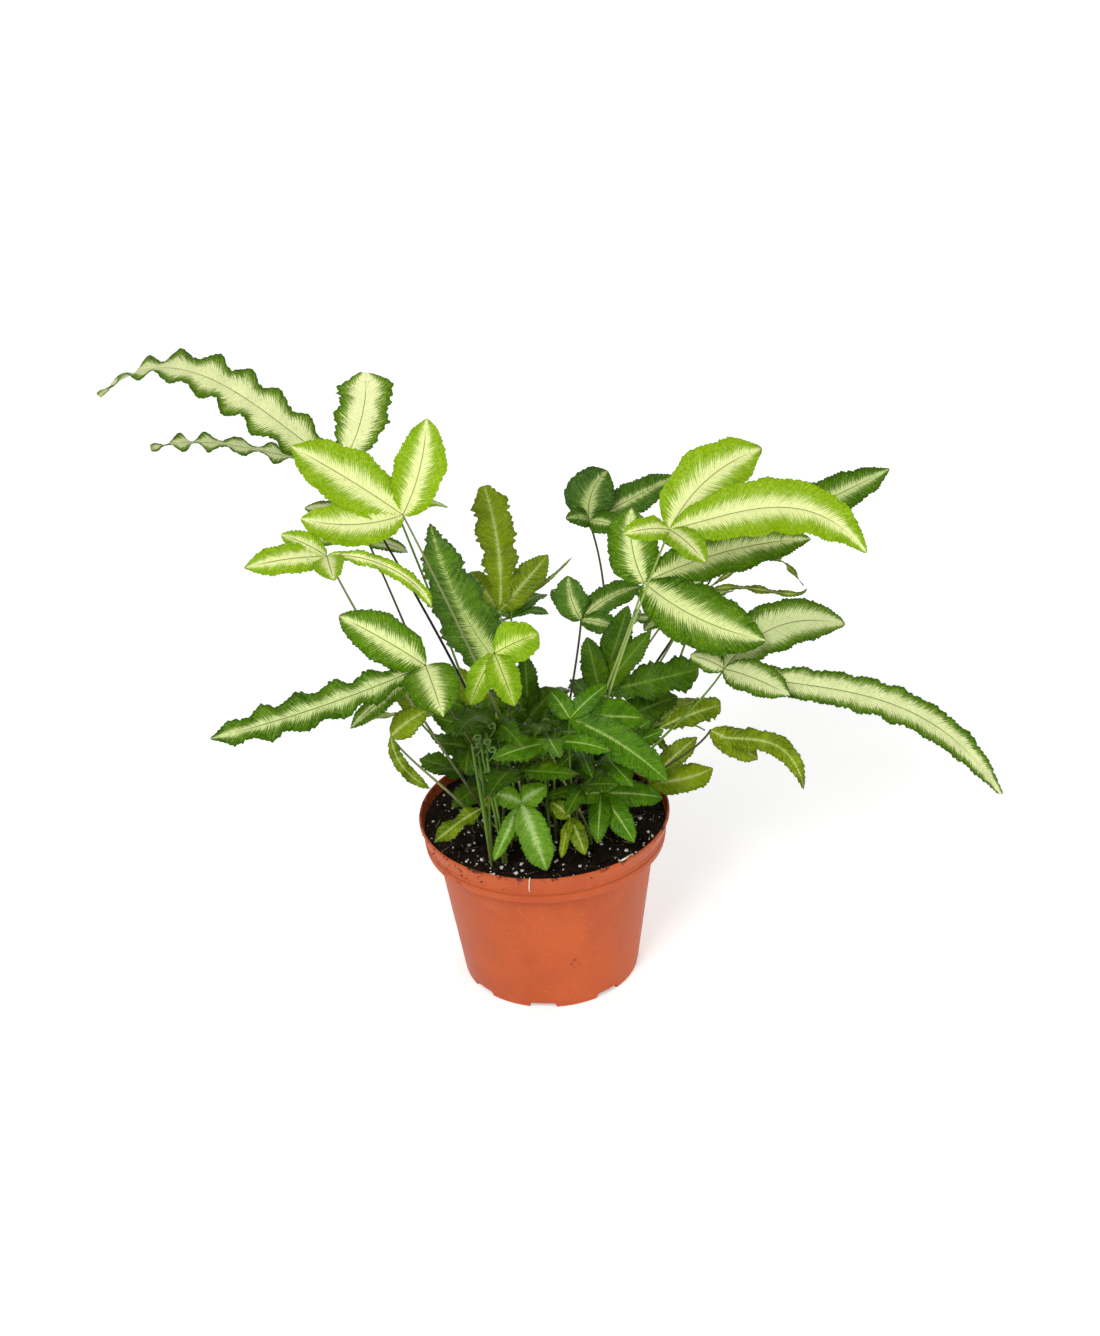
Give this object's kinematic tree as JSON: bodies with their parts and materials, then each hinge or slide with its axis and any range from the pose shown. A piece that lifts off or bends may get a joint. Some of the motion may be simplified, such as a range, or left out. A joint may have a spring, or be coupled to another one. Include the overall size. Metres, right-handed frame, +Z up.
{
  "type": "potted variegated ribbon fern",
  "caption": "Variegated ribbon fern with lance-shaped and wavy ribbon leaflets on thin upright stalks, growing from soil in a round tapered plastic pot.",
  "frame": {"origin": "middle of the underside of the pot, where it stands", "axes": "+Z up, -Y towards the viewer of the front, +X to the viewer's right, along the plant's widest spread"},
  "size_m": [0.397, 0.2089, 0.3121],
  "materials": {
    "pot_plastic": "terracotta-coloured moulded plastic, satin",
    "potting_soil": "moist crumbly peat soil with pale grains",
    "leaf_lime": "satin leaf, cream band with bright yellow-green margin",
    "leaf_green": "satin leaf, cream band with mid-green margin",
    "leaf_deep": "glossy dark green leaf with a thin pale midrib stripe",
    "leaf_olive": "glossy olive-green leaf"
  },
  "bodies": {
    "root": {"frond_arched_right": "leaf_olive", "frond_back_right": "leaf_deep", "frond_dark_centre": "leaf_deep", "frond_dark_middle": "leaf_deep", "frond_drooping_left": "leaf_lime", "frond_front": "leaf_deep", "frond_front_cluster": "leaf_deep", "frond_front_left": "leaf_olive", "frond_front_right": "leaf_olive", "frond_green_right": "leaf_green", "frond_lance_middle": "leaf_green", "frond_lime_left": "leaf_lime", "frond_lime_middle": "leaf_lime", "frond_lime_right": "leaf_lime", "frond_long_left": "leaf_green", "frond_long_right": "leaf_green", "frond_low_01": "leaf_olive", "frond_low_02": "leaf_deep", "frond_low_03": "leaf_olive", "frond_low_04": "leaf_deep", "frond_low_05": "leaf_olive", "frond_low_06": "leaf_deep", "frond_low_07": "leaf_deep", "frond_low_08": "leaf_deep", "frond_low_09": "leaf_olive", "frond_low_10": "leaf_olive", "frond_low_11": "leaf_olive", "frond_low_12": "leaf_deep", "frond_low_13": "leaf_deep", "frond_low_14": "leaf_deep", "frond_low_15": "leaf_deep", "frond_low_16": "leaf_deep", "frond_low_17": "leaf_olive", "frond_low_18": "leaf_deep", "frond_low_19": "leaf_deep", "frond_low_20": "leaf_deep", "frond_low_21": "leaf_olive", "frond_low_22": "leaf_deep", "frond_low_23": "leaf_olive", "frond_low_24": "leaf_olive", "frond_low_25": "leaf_deep", "frond_low_right": "leaf_olive", "frond_lower_left": "leaf_green", "frond_mid_left": "leaf_deep", "frond_mid_right": "leaf_olive", "frond_rear_left_01": "leaf_lime", "frond_rear_left_02": "leaf_green", "frond_rear_low_01": "leaf_olive", "frond_rear_low_02": "leaf_olive", "frond_rear_middle_01": "leaf_deep", "frond_rear_right_01": "leaf_green", "frond_rear_right_02": "leaf_green", "frond_small_left": "leaf_lime", "frond_small_middle": "leaf_deep", "frond_tall_middle": "leaf_deep", "frond_thin_right": "leaf_green", "frond_upper_middle": "leaf_deep", "frond_upright_middle": "leaf_olive", "pot": "pot_plastic", "soil": "potting_soil"}
  },
  "joints": []
}
